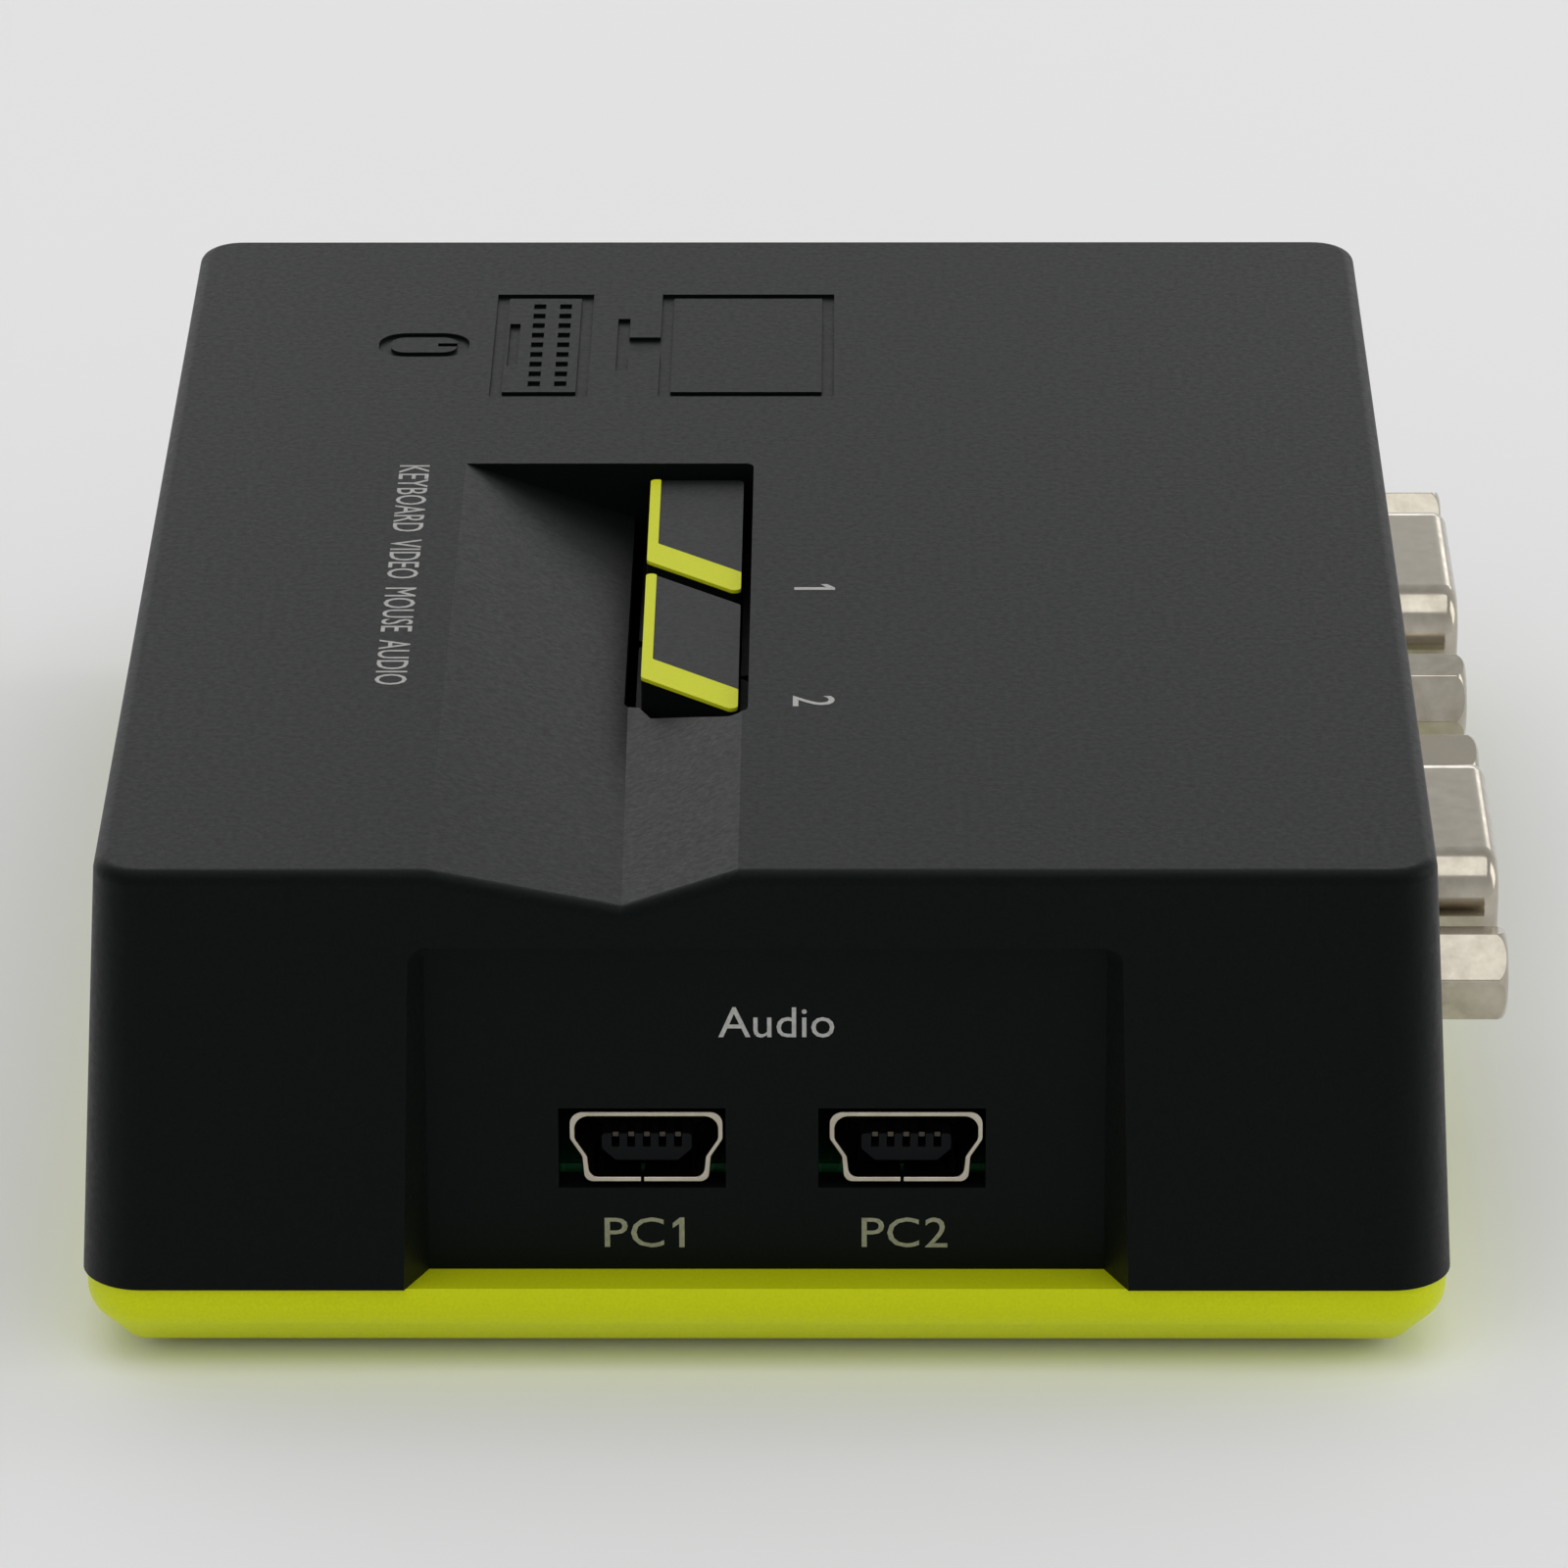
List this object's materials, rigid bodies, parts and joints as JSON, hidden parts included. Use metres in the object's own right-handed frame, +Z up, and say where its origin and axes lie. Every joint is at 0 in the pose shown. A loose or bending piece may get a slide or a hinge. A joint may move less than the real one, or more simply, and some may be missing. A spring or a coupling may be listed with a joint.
{
  "type": "kvm switch",
  "caption": "Small desktop KVM switch: drafted dark case on a coloured base, sunk V groove leading to two select keys, video sockets on the side and mini audio sockets at the end.",
  "frame": {"origin": "on the table under the centre of the overall box, standoffs included", "axes": "+Z up; +X towards the two computer video sockets; -Y towards the two computer audio sockets; +Y towards the console video socket"},
  "size_m": [0.0738, 0.0962, 0.0276],
  "materials": {
    "charcoal_shell": "fine spark-eroded texture",
    "lime_base": "satin moulded",
    "key_black": "fine texture",
    "lime_guide": "translucent satin",
    "foot_rubber": "matt",
    "screw_steel": "zinc plated",
    "board_green": "solder mask",
    "chip_black": "moulded",
    "tin_plate": "tinned",
    "capacitor_sleeve": "shrink sleeve",
    "chip_ceramic": "fired",
    "nickel_plate": "bright nickel",
    "socket_black": "moulded",
    "socket_blue": "moulded",
    "contact_gold": "gold flash",
    "led_lens": "clear tinted",
    "jack_green": "moulded",
    "jack_pink": "moulded"
  },
  "bodies": {
    "case": {"base_shell": "lime_base", "case_screws": "screw_steel", "circuit_board": "board_green", "computer_1_audio_contacts": "contact_gold", "computer_1_audio_insulator": "socket_black", "computer_1_audio_shell": "nickel_plate", "computer_1_video_block": "socket_black", "computer_1_video_contacts": "contact_gold", "computer_1_video_insulator": "socket_blue", "computer_1_video_shell": "nickel_plate", "computer_2_audio_contacts": "contact_gold", "computer_2_audio_insulator": "socket_black", "computer_2_audio_shell": "nickel_plate", "computer_2_video_block": "socket_black", "computer_2_video_contacts": "contact_gold", "computer_2_video_insulator": "socket_blue", "computer_2_video_shell": "nickel_plate", "console_video_block": "socket_black", "console_video_contacts": "contact_gold", "console_video_insulator": "socket_blue", "console_video_shell": "nickel_plate", "controller_chip": "chip_black", "controller_leads": "tin_plate", "crystal_can": "tin_plate", "jack_standoffs": "nickel_plate", "key_switch_1_cover": "nickel_plate", "key_switch_1_housing": "socket_black", "key_switch_2_cover": "nickel_plate", "key_switch_2_housing": "socket_black", "keyboard_port_contacts": "contact_gold", "keyboard_port_insulator": "socket_black", "keyboard_port_shell": "nickel_plate", "led_spacer_1": "socket_black", "led_spacer_2": "socket_black", "microphone_jack_contacts": "contact_gold", "microphone_jack_housing": "jack_pink", "mouse_port_contacts": "contact_gold", "mouse_port_insulator": "socket_black", "mouse_port_shell": "nickel_plate", "rubber_feet": "foot_rubber", "speaker_jack_contacts": "contact_gold", "speaker_jack_housing": "jack_green", "status_led_1": "led_lens", "status_led_2": "led_lens", "storage_capacitors": "capacitor_sleeve", "surface_mount_parts": "chip_ceramic", "top_shell": "charcoal_shell", "video_buffer_chips": "chip_black", "video_buffer_leads": "tin_plate"},
    "select_key_1": {"select_key_1": "key_black", "key_light_guide_1": "lime_guide"},
    "select_key_2": {"select_key_2": "key_black", "key_light_guide_2": "lime_guide"},
    "switch_plunger_1": {"key_switch_1_plunger": "socket_black"},
    "switch_plunger_2": {"key_switch_2_plunger": "socket_black"}
  },
  "joints": [
    {"name": "key_1_press", "type": "slide", "parent": "case", "child": "select_key_1", "axis": [0, 0, -1], "range_m": [0, 0.0003], "stiffness_N_per_m": 3500, "springref_m": -0.0002},
    {"name": "switch_1_press", "type": "slide", "parent": "case", "child": "switch_plunger_1", "axis": [0, 0, -1], "range_m": [0, 0.0003]},
    {"name": "key_2_press", "type": "slide", "parent": "case", "child": "select_key_2", "axis": [0, 0, -1], "range_m": [0, 0.0003], "stiffness_N_per_m": 3500, "springref_m": -0.0002},
    {"name": "switch_2_press", "type": "slide", "parent": "case", "child": "switch_plunger_2", "axis": [0, 0, -1], "range_m": [0, 0.0003]}
  ],
  "couplings": [
    {"joint": "switch_1_press", "follows": "key_1_press", "ratio": 1},
    {"joint": "switch_2_press", "follows": "key_2_press", "ratio": 1}
  ]
}
